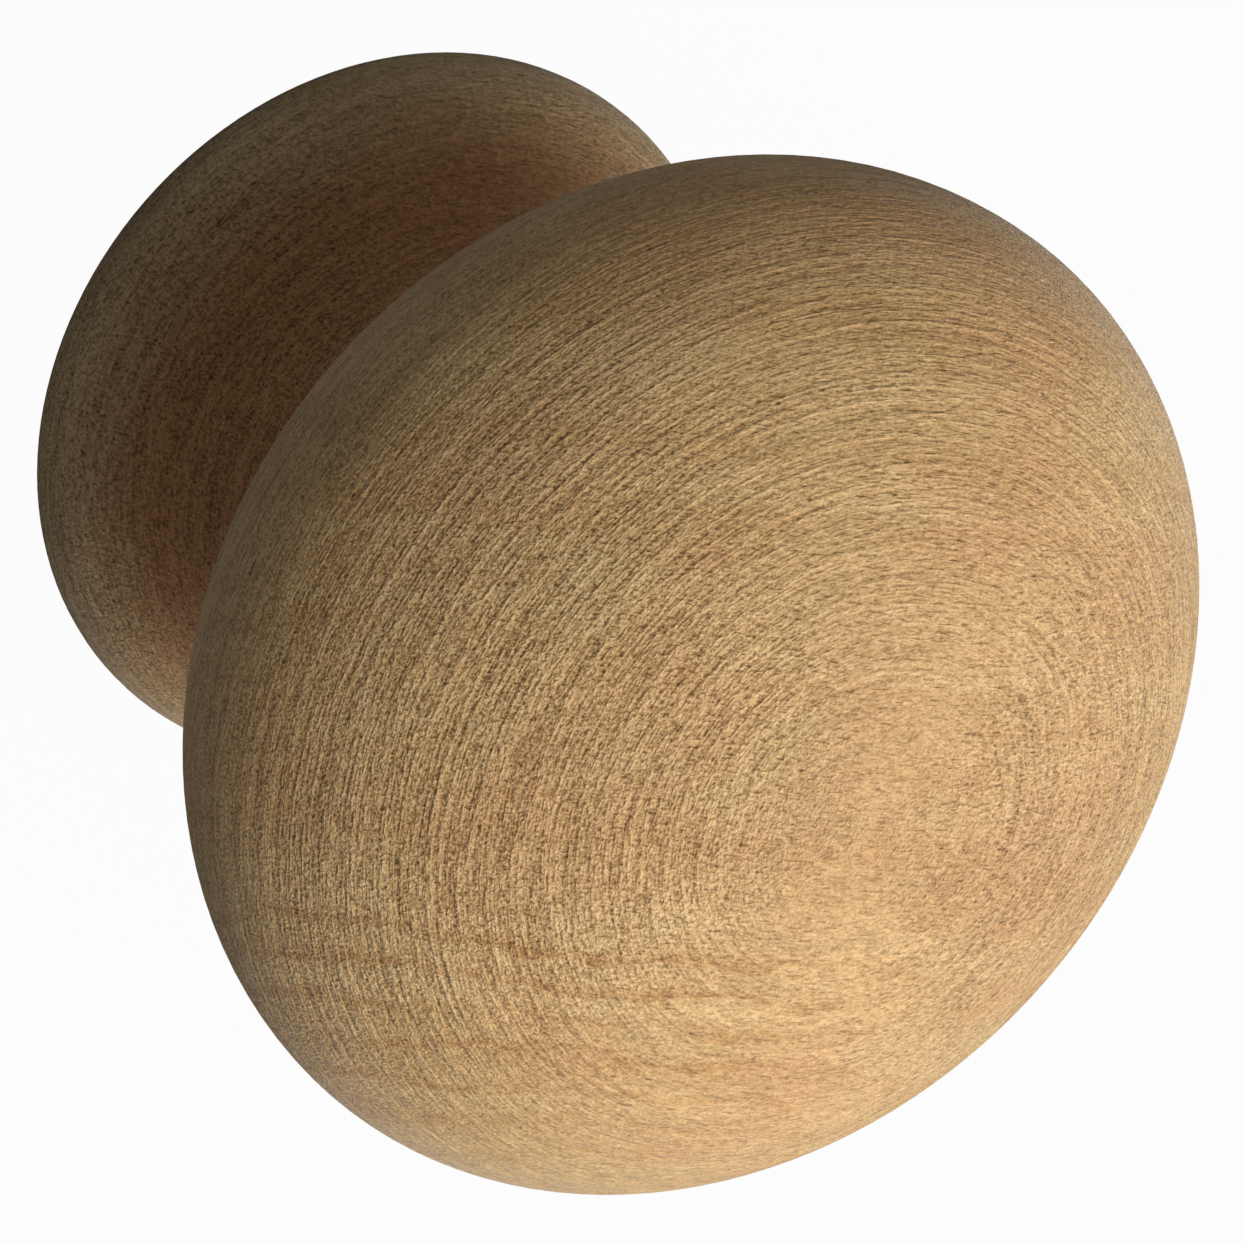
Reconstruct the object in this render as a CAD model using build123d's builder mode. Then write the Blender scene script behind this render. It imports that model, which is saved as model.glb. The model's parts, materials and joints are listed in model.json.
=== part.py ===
from build123d import *
import math
import os

# A cabinet knob turned in one piece from a blank of pale hardwood. The turning axis is Z. The flat
# back that bears on a drawer front lies on Z = 0, and the broad low dome of the head is on top.
# All sizes are in millimetres.

# Head: an oval section, widest at its edge, low above it and deeper below it
head_diameter = 38.0
head_edge_height = 25.0
dome_rise = 11.0
underside_depth = 12.8
underside_sweep = 40.0      # degrees of the oval kept below the edge, before the neck takes over

# Neck: the narrowest place of the cove between head and foot
neck_diameter = 18.0
neck_height = 11.5

# Foot: a bead with a rounded lower edge, and a shoulder that runs out into the cove
foot_diameter = 27.8
foot_rim_height = 2.1
foot_edge_width = 1.6
shoulder_width = 2.4
shoulder_rise = 2.6
shoulder_sweep = 50.0       # degrees of the shoulder's oval kept before the cove takes over

# Blind pilot hole for the fixing screw, with a drill point at its end and a countersunk mouth
pilot_diameter = 3.5
pilot_depth = 16.0
drill_point_angle = 118.0
mouth_chamfer = 0.4

head_radius = head_diameter / 2
foot_radius = foot_diameter / 2
neck_radius = neck_diameter / 2
pilot_radius = pilot_diameter / 2
back_radius = foot_radius - foot_edge_width
full_height = head_edge_height + dome_rise
quarter_oval_weight = math.sqrt(0.5)    # makes a three-point Bezier curve an exact quarter of an ellipse
upward = (0, 1)

with BuildPart() as turned_knob:
    # Half section, turned about Z to make the blank's finished shape
    with BuildSketch(Plane.XZ):
        with BuildLine():
            back_line = Line((0, 0), (back_radius, 0))
            foot_edge = EllipticalCenterArc(
                (back_radius, foot_rim_height), foot_edge_width, foot_rim_height, start_angle=-90, arc_size=90
            )
            shoulder = EllipticalCenterArc(
                (foot_radius - shoulder_width, foot_rim_height),
                shoulder_width,
                shoulder_rise,
                start_angle=0,
                arc_size=shoulder_sweep,
            )
            underside = EllipticalCenterArc(
                (0, head_edge_height),
                head_radius,
                underside_depth,
                start_angle=-underside_sweep,
                arc_size=underside_sweep,
            )
            dome = Bezier(
                (head_radius, head_edge_height),
                (head_radius, full_height),
                (0, full_height),
                weights=(1, quarter_oval_weight, 1),
            )
            lower_cove = Spline(shoulder @ 1, (neck_radius, neck_height), tangents=(shoulder % 1, upward))
            upper_cove = Spline(lower_cove @ 1, underside @ 0, tangents=(upward, underside % 0))
            turning_axis = Line((0, full_height), (0, 0))
        make_face()
    revolve(axis=Axis.Z)

    # Pilot hole: a straight wall, then the cone that the drill's point leaves
    with BuildSketch(Plane.XY):
        Circle(pilot_radius)
    extrude(amount=pilot_depth, mode=Mode.SUBTRACT)
    drill_point_rise = pilot_radius / math.tan(math.radians(drill_point_angle / 2))
    with Locations((0, 0, pilot_depth + drill_point_rise / 2)):
        Cone(pilot_radius, 0, drill_point_rise, mode=Mode.SUBTRACT)
    back_face = turned_knob.faces().filter_by(GeomType.PLANE).sort_by(Axis.Z)[0]
    chamfer(back_face.edges().sort_by(SortBy.LENGTH)[0], mouth_chamfer)

turned_knob.part.label = "turned_knob"

os.makedirs("parts", exist_ok=True)
export_step(turned_knob.part, "parts/turned_knob.step")
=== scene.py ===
import bpy
import json
from math import cos, hypot, pi, radians, sin, tan
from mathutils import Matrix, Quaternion, Vector


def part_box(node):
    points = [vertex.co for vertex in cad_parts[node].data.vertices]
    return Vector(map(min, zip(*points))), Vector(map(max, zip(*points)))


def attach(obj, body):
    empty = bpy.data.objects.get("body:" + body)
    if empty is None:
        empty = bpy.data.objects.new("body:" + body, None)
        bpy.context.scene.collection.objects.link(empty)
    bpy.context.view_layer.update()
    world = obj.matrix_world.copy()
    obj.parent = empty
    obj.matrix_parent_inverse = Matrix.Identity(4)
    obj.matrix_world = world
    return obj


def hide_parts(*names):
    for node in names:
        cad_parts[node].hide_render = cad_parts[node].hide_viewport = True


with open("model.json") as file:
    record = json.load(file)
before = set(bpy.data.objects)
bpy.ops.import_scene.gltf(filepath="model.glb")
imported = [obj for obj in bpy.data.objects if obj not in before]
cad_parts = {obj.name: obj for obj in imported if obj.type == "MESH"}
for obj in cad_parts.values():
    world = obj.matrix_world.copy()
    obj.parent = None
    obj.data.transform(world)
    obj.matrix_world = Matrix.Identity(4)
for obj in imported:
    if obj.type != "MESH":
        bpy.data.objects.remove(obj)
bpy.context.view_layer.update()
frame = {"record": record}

# ---------------------------------------------------------------------------------------------
# The knob: one blank of pale, close-grained hardwood, spun on a lathe and cut with a gouge, then
# lightly sanded and left raw. Its fibres run across the turning axis, and the back is drilled.
# ---------------------------------------------------------------------------------------------
knob_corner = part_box("turned_knob")[1]
pilot = next(m for m in frame["record"]["mounts"] if m["name"] == "pilot_hole")["dims"]
mm = 0.001
head_radius = knob_corner.x / mm
knob_height = knob_corner.z / mm
head_edge_height = 25.0
underside_depth = 12.8
underside_sweep = radians(40)
neck_radius = 9.0
neck_height = 11.5
foot_radius = 13.9
foot_rim_height = 2.1
foot_edge_width = 1.6
shoulder_width = 2.4
shoulder_rise = 2.6
shoulder_sweep = radians(50)
pilot_radius = pilot["r_mm"]
mouth_chamfer = 0.4
pilot_depth = mouth_chamfer + pilot["length_mm"]
drill_point_angle = radians(118)
back_margin = 0.6
step_on_head = 0.075
step_on_foot = 0.1
steps_around = 132


def oval(centre, width, height, start, end, step):
    """Points along part of an upright oval, about one step of length apart."""
    count = max(3, round(abs(end - start) * (width + height) / 2 / step))
    turns = [start + (end - start) * i / count for i in range(count + 1)]
    return [(centre[0] + width * cos(t), centre[1] + height * sin(t)) for t in turns]


def cove(start, start_way, end, end_way, step):
    """Points along the hollow between two places, leaving and meeting them the given ways."""
    reach = hypot(end[0] - start[0], end[1] - start[1])
    bent_length = reach * 1.1
    count = round(bent_length / step)
    points = []
    for i in range(count + 1):
        t = i / count
        weights = (2 * t**3 - 3 * t**2 + 1, t**3 - 2 * t**2 + t, 3 * t**2 - 2 * t**3, t**3 - t**2)
        points.append(tuple(
            weights[0] * start[k] + weights[1] * reach * start_way[k]
            + weights[2] * end[k] + weights[3] * reach * end_way[k]
            for k in (0, 1)
        ))
    return points


def way(width, height, turn):
    """The direction in which an oval's outline runs at a turn."""
    along = (-width * sin(turn), height * cos(turn))
    return along[0] / hypot(*along), along[1] / hypot(*along)


upward = (0, 1)
neck = (neck_radius, neck_height)
foot_edge = oval((foot_radius - foot_edge_width, foot_rim_height), foot_edge_width, foot_rim_height,
                 -pi / 2, 0, step_on_foot)
shoulder = oval((foot_radius - shoulder_width, foot_rim_height), shoulder_width, shoulder_rise,
                0, shoulder_sweep, step_on_foot)
underside = oval((0, head_edge_height), head_radius, underside_depth, -underside_sweep, 0, step_on_head)
dome = oval((0, head_edge_height), head_radius, knob_height - head_edge_height, 0, pi / 2, step_on_head)
lower_cove = cove(shoulder[-1], way(shoulder_width, shoulder_rise, shoulder_sweep),
                  neck, upward, step_on_foot)
upper_cove = cove(neck, upward, underside[0],
                  way(head_radius, underside_depth, -underside_sweep), step_on_foot)
drilled = [
    (0, pilot_depth + pilot_radius / tan(drill_point_angle / 2)),
    (pilot_radius, pilot_depth),
    (pilot_radius, mouth_chamfer),
    (pilot_radius + mouth_chamfer, 0),
    (foot_radius - foot_edge_width - back_margin, 0),
]
turned = foot_edge + shoulder[1:] + lower_cove[1:] + upper_cove[1:] + underside[1:] + dome[1:]

# The gouge and the sandpaper leave fine grooves, a third of a millimetre apart and uneven. They
# are cut inwards, so the knob keeps its size, and fade out towards the back and the dome's middle.
groove_pitch = 0.34
groove_depth = 0.018
fade_from_back = 3
fade_to_middle = 6
travelled = [0.0]
for before, after in zip(turned, turned[1:]):
    travelled.append(travelled[-1] + hypot(after[0] - before[0], after[1] - before[1]))
whole_way = travelled[-1]
grooved = []
for i, (point, way_cut) in enumerate(zip(turned, travelled)):
    before, after = turned[max(i - 1, 0)], turned[min(i + 1, len(turned) - 1)]
    run = (after[0] - before[0], after[1] - before[1])
    outward = (run[1] / hypot(*run), -run[0] / hypot(*run))
    phase = 2 * pi * way_cut / groove_pitch + 2.1 * sin(way_cut * 1.3) + 1.4 * sin(way_cut * 3.7)
    uneven = 0.5 + 0.3 * sin(way_cut * 2.3 + 1) + 0.2 * sin(way_cut * 5.1)
    fade = min(1, way_cut / fade_from_back, (whole_way - way_cut) / fade_to_middle)
    cut = groove_depth * fade * uneven * (0.5 + 0.5 * sin(phase))
    grooved.append((max(point[0] - outward[0] * cut, 0), point[1] - outward[1] * cut))
outline = drilled + grooved
lengths = [0.0] * len(drilled) + travelled

bpy.ops.object.select_all(action="DESELECT")
bpy.ops.mesh.primitive_plane_add(size=mm, location=(0, 0, 0))
knob = bpy.context.object
knob.name = "knob"
bpy.ops.object.mode_set(mode="EDIT")
bpy.ops.mesh.merge(type="CENTER")
bpy.ops.transform.translate(value=(outline[0][0] * mm, 0, outline[0][1] * mm))
for before, after in zip(outline, outline[1:]):
    move = ((after[0] - before[0]) * mm, 0, (after[1] - before[1]) * mm)
    bpy.ops.mesh.extrude_region_move(TRANSFORM_OT_translate={"value": move})
bpy.ops.object.mode_set(mode="OBJECT")
turning = knob.data.attributes.new("turned_length", "FLOAT", "POINT")
turning.data.foreach_set("value", lengths)
bpy.ops.object.mode_set(mode="EDIT")
bpy.ops.mesh.select_all(action="SELECT")
bpy.ops.mesh.spin(steps=steps_around, angle=2 * pi, center=(0, 0, 0), axis=(0, 0, 1))
bpy.ops.mesh.select_all(action="SELECT")
bpy.ops.mesh.remove_doubles(threshold=0.002 * mm)
bpy.ops.mesh.normals_make_consistent(inside=False)
bpy.ops.object.mode_set(mode="OBJECT")
bpy.ops.object.shade_smooth_by_angle(angle=radians(35))


class Finish:
    """A value that changes over a surface. Sums written on it add Math nodes to the finish."""

    def __init__(self, tree, socket=None):
        self.tree = tree
        self.socket = socket

    def node(self, kind, settings=None, sockets=None, output=0):
        """One node of a kind, with its settings, then the values or links of its sockets."""
        made = self.tree.nodes.new("ShaderNode" + kind)
        for name, setting in (settings or {}).items():
            setattr(made, name, setting)
        for name, value in (sockets or {}).items():
            if isinstance(value, Finish):
                self.tree.links.new(value.socket, made.inputs[name])
            else:
                made.inputs[name].default_value = value
        return Finish(self.tree, made.outputs[output] if made.outputs else None)

    def maths(self, operation, *values):
        """A sum of one kind, worked out from numbers or other values."""
        return self.node("Math", {"operation": operation}, dict(enumerate(values)))

    def __add__(self, other):
        return self.maths("ADD", self, other)

    __radd__ = __add__

    def __sub__(self, other):
        return self.maths("SUBTRACT", self, other)

    def __rsub__(self, other):
        return self.maths("SUBTRACT", other, self)

    def __mul__(self, other):
        return self.maths("MULTIPLY", self, other)

    def __truediv__(self, other):
        return self.maths("DIVIDE", self, other)

    def __pow__(self, other):
        return self.maths("POWER", self, other)

    def __abs__(self):
        return self.maths("ABSOLUTE", self)

    def between(self, low, high):
        """0 below low, 1 above high, and a soft rise from one to the other."""
        return self.node("MapRange", {"interpolation_type": "SMOOTHSTEP"},
                         {"Value": self, "From Min": low, "From Max": high})

    def colour(self, below, above):
        """The colour below at 0, the colour above at 1."""
        return self.node("Mix", {"data_type": "RGBA"}, {0: self, 6: below, 7: above}, output=2)

    def tinted(self, colour):
        """A colour, made lighter or darker by three numbers."""
        return self.node("VectorMath", {"operation": "MULTIPLY"}, {0: self, 1: colour})

    def axis(self, index):
        """One of the three numbers that make a place."""
        return self.node("SeparateXYZ", None, {"Vector": self}, output=index)

    def stretched(self, *by):
        """A place, multiplied along each of its axes."""
        return self.node("VectorMath", {"operation": "MULTIPLY"}, {0: self, 1: by})

    def noise(self, detail, rough):
        """Cloudy unevenness about 0.5, with a grain one unit wide."""
        return self.node("TexNoise", None, {"Vector": self, "Scale": 1.0, "Detail": detail,
                                            "Roughness": rough})


def raw_wood():
    """Raw side-grain hardwood, with its growth layers, fibres, pores and turning marks."""
    pale = (0.82, 0.535, 0.245, 1)
    tan_wood = (0.73, 0.435, 0.185, 1)
    olive = (0.60, 0.43, 0.195, 1)
    pinkish = (0.71, 0.375, 0.17, 1)
    layer_brown = (0.56, 0.27, 0.085, 1)
    shaded_cove_brown = (0.63, 0.305, 0.125, 1)
    rim_painted_light = (0.86, 0.66, 0.40, 1)
    pore_dark = (0.30, 0.15, 0.06, 1)
    fibre_turn = radians(118)

    material = bpy.data.materials.new("raw_wood")
    material.use_nodes = True
    tree = material.node_tree
    tree.nodes.clear()
    wood = Finish(tree)

    # Places in millimetres: on the knob, along and across the fibres, and round the turning axis
    place = wood.node("TexCoord", output=3).stretched(1 / mm, 1 / mm, 1 / mm)
    fibres = wood.node("Mapping", {"vector_type": "POINT"},
                       {"Vector": place, "Rotation": (0, 0, -fibre_turn)})
    along, across, height = (fibres.axis(index) for index in range(3))
    from_axis = (along * along + across * across + 0.04) ** 0.5
    cut_length = wood.node("Attribute", {"attribute_name": "turned_length"}, output=2)
    round_axis = wood.node("CombineXYZ", None, {"X": along / from_axis, "Y": across / from_axis,
                                                "Z": cut_length})
    end_grain = abs(along / from_axis).between(0.35, 0.95)
    off_centre = from_axis.between(1.0, 7.0)

    # Growth layers: bent sheets along the fibres, with a family of brown streaks on one side
    layer_slope = 0.45
    layer_bend = 4.0
    streak_pitch = 1.35
    streak_wander = 7.0
    waver = fibres.stretched(0.10, 0.16, 0.16).noise(3.0, 0.6)
    depth = across - (height - knob_height) * layer_slope + (waver - 0.5) * layer_bend
    in_layer = wood.node("CombineXYZ", None, {"X": along * 0.02, "Y": depth * 0.35, "Z": 0.0})
    layers = in_layer.noise(3.0, 0.6)
    in_streak = wood.node("CombineXYZ", None, {"X": along * 0.35, "Y": depth * 1.6, "Z": 3.0})
    streak_edges = in_streak.noise(3.0, 0.65)
    streak_turn = depth * (2 * pi / streak_pitch) + (streak_edges - 0.5) * streak_wander
    streaks = wood.maths("SINE", streak_turn)
    streak_depth = depth.between(-13.0, -10.0) * (1 - depth.between(-5.0, -3.5))
    streak_side = streak_depth * (1 - along.between(-3.0, 9.0))
    streaked = streaks.between(0.25, 1.0) * (streak_side * 0.85 + 0.15)
    streaked = streaked * streak_edges.between(0.35, 0.6)

    # Fibres: fine flecks and cracks, longer than they are wide, and pin-sized pores
    pore_edge = 0.05
    pore_rim = 0.11
    fleck = fibres.stretched(2.4, 7.0, 7.0).noise(1.0, 0.6)
    fine_fleck = fibres.stretched(5.0, 13.0, 13.0).noise(1.0, 0.6)
    cracks = fibres.stretched(2.0, 10.0, 10.0).noise(0.0, 0.5).between(0.60, 0.74)
    grit = place.stretched(8.0, 8.0, 8.0).noise(1.0, 0.7)
    pore_places = {"Vector": fibres.stretched(0.9, 1.4, 1.4), "Scale": 1.0}
    pore = 1 - wood.node("TexVoronoi", {"feature": "F1"}, pore_places).between(pore_edge, pore_rim)

    # Turning marks: uneven rings round the axis, broken by the grain, with broad bands of tint
    rings = round_axis.stretched(2.6, 2.6, 4.8).noise(1.0, 0.7)
    fine_rings = round_axis.stretched(22.0, 22.0, 9.0).noise(1.0, 0.7)
    bands = round_axis.stretched(1.1, 1.1, 0.7).noise(2.0, 0.5)
    ring_strength = (end_grain * 0.4 + 0.6) * off_centre
    grain_strength = end_grain * off_centre * 0.3 + 0.7

    # Colour: soft patches over the layers, with painted shade and warm bounce light in the cove under
    # the head, and painted light that makes the foot's rim paler
    patches = place.stretched(0.13, 0.13, 0.13).noise(3.0, 0.55)
    warm = place.stretched(0.09, 0.12, 0.10).noise(2.0, 0.5)
    # Painted shade and warm bounce light: the cove under the head's overhang, between about 3 and 18 mm
    # up
    cove_shade_mask = height.between(3.0, 6.5) * (1 - height.between(13.0, 18.0))
    colour = layers.between(0.3, 0.7).colour(pale, tan_wood)
    colour = (patches.between(0.45, 0.75) * 0.30).colour(colour, olive)
    colour = (bands.between(0.48, 0.66) * 0.20).colour(colour, olive)
    colour = (warm.between(0.46, 0.70) * 0.45).colour(colour, pinkish)
    colour = (streaked * 0.6).colour(colour, layer_brown)
    # Painted shade and warm bounce light: the cove is made darker and redder
    colour = (cove_shade_mask * 0.8).colour(colour, shaded_cove_brown)
    # Painted light: the foot's rim, below 3 to 6 mm, is made paler than the wood
    colour = ((1 - height.between(3.0, 6.0)) * 0.45).colour(colour, rim_painted_light)
    colour = (pore * 0.5).colour(colour, pore_dark)

    # Light and dark: marks and grain change the colour within two limits, and the dark is redder. The
    # rings' part is painted shade in the turning grooves and painted light on their ridges, following
    # the relief below; the grain's part is the wood's own tone
    darkest = 0.35
    lightest = 1.3
    green_loss = 1.2
    blue_loss = 1.45
    shade = 1.0 + (rings - 0.5) * ring_strength * 0.8 + (fine_rings - 0.5) * ring_strength * 0.9
    grain = (fleck - 0.5) * 0.9 + (fine_fleck - 0.5) + (grit - 0.5) - cracks * 0.25
    shade = shade + grain * grain_strength
    shade = wood.maths("MINIMUM", wood.maths("MAXIMUM", shade, darkest), lightest)
    shades = {"X": shade, "Y": shade ** green_loss, "Z": shade ** blue_loss}
    colour = wood.node("CombineXYZ", None, shades).tinted(colour)

    # Relief in millimetres: marks and grain stand up, most on end grain, and pores and cracks go in
    ring_relief = 0.13
    fine_ring_relief = 0.085
    pore_dent = 0.03
    crack_dent = 0.02
    fleck_relief = 0.06
    grit_relief = 0.10
    relief = (rings * ring_relief + fine_rings * fine_ring_relief) * ring_strength
    relief = relief - pore * pore_dent - cracks * crack_dent
    relief = relief + (fleck * fleck_relief + grit * grit_relief) * (end_grain * 0.7 + 0.4)
    bump = wood.node("Bump", None, {"Strength": 1.0, "Distance": mm, "Height": relief})
    surface = wood.node("BsdfPrincipled", None, {
        "Base Color": colour,
        "Roughness": 0.62 + fine_fleck * 0.2,
        "Normal": bump,
        "IOR": 1.45,
        "Specular IOR Level": 0.3,
        "Sheen Weight": 0.5,
        "Sheen Roughness": 0.3,
        "Sheen Tint": (1.0, 0.93, 0.82, 1),
    })
    wood.node("OutputMaterial", None, {"Surface": surface})
    return material


knob.data.materials.clear()
knob.data.materials.append(raw_wood())
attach(knob, "root")
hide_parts("turned_knob")

# ---------------------------------------------------------------------------------------------
# The setting: a plain pale floor a hair under the foot, clear from below, two wide soft lamps, one
# behind the knob and a weaker one straight above, weak light all round, and a long lens.
# ---------------------------------------------------------------------------------------------
floor_reach = 3.0
floor_drop = 0.02 * mm
floor_grey = (0.25, 0.25, 0.25, 1)
floor_white = 0.97
room_light = 0.085
lamp_distance = 0.5
lamps = {
    "lamp_behind": (radians(35), 0.60, 2.65),
    "lamp_above": (radians(90), 0.34, 1.10),
}
white = (1, 1, 1, 1)

bpy.ops.object.select_all(action="DESELECT")
bpy.ops.mesh.primitive_plane_add(size=floor_reach, location=(0, 0, -floor_drop))
floor = bpy.context.object
floor.name = "floor"
paper = bpy.data.materials.new("floor_paper")
paper.use_nodes = True
paper.node_tree.nodes.clear()
sheet = Finish(paper.node_tree)
matt = sheet.node("BsdfDiffuse", None, {"Color": floor_grey})
bright = sheet.node("Emission", None, {"Color": white, "Strength": 1.0})
mixed = sheet.node("MixShader", None, {0: sheet.node("LightPath") * floor_white, 1: matt, 2: bright})
clear = sheet.node("BsdfTransparent", None, {"Color": white})
one_sided = sheet.node("MixShader", None, {0: sheet.node("NewGeometry", output=6), 1: mixed, 2: clear})
sheet.node("OutputMaterial", None, {"Surface": one_sided})
floor.data.materials.append(paper)

knob_middle = Vector((0, 0, knob_height / 2 * mm))
for name, (lamp_height, lamp_width, lamp_power) in lamps.items():
    to_lamp = Vector((0, cos(lamp_height), sin(lamp_height)))
    lamp = bpy.data.objects.new(name, bpy.data.lights.new(name, "AREA"))
    lamp.data.shape = "DISK"
    lamp.data.size = lamp_width
    lamp.data.energy = lamp_power
    lamp.location = knob_middle + to_lamp * lamp_distance
    lamp.rotation_euler = to_lamp.to_track_quat("Z", "Y").to_euler()
    bpy.context.scene.collection.objects.link(lamp)

room = bpy.data.worlds.new("room")
room.use_nodes = True
room.node_tree.nodes.clear()
air = Finish(room.node_tree)
strength = air.node("LightPath") * (1 - room_light) + room_light
sky = air.node("Background", None, {"Color": white, "Strength": strength})
air.node("OutputWorld", None, {"Surface": sky})
bpy.context.scene.world = room

view_tilt = radians(41.4)
view_turn = radians(130.9)
view_distance = 0.2657
lens_length = 220.6
aim = Vector((0.0002, 0, 0.0196))
to_camera = Vector((0, -sin(view_tilt), cos(view_tilt)))
camera = bpy.data.objects.new("camera", bpy.data.cameras.new("camera"))
camera.data.sensor_width = 36
camera.data.lens = lens_length
camera.location = aim + to_camera * view_distance
camera.rotation_mode = "QUATERNION"
camera.rotation_quaternion = (-to_camera).to_track_quat("-Z", "Y") @ Quaternion((0, 0, 1), view_turn)
bpy.context.scene.collection.objects.link(camera)
bpy.context.scene.camera = camera
bpy.context.scene.view_settings.view_transform = "Standard"
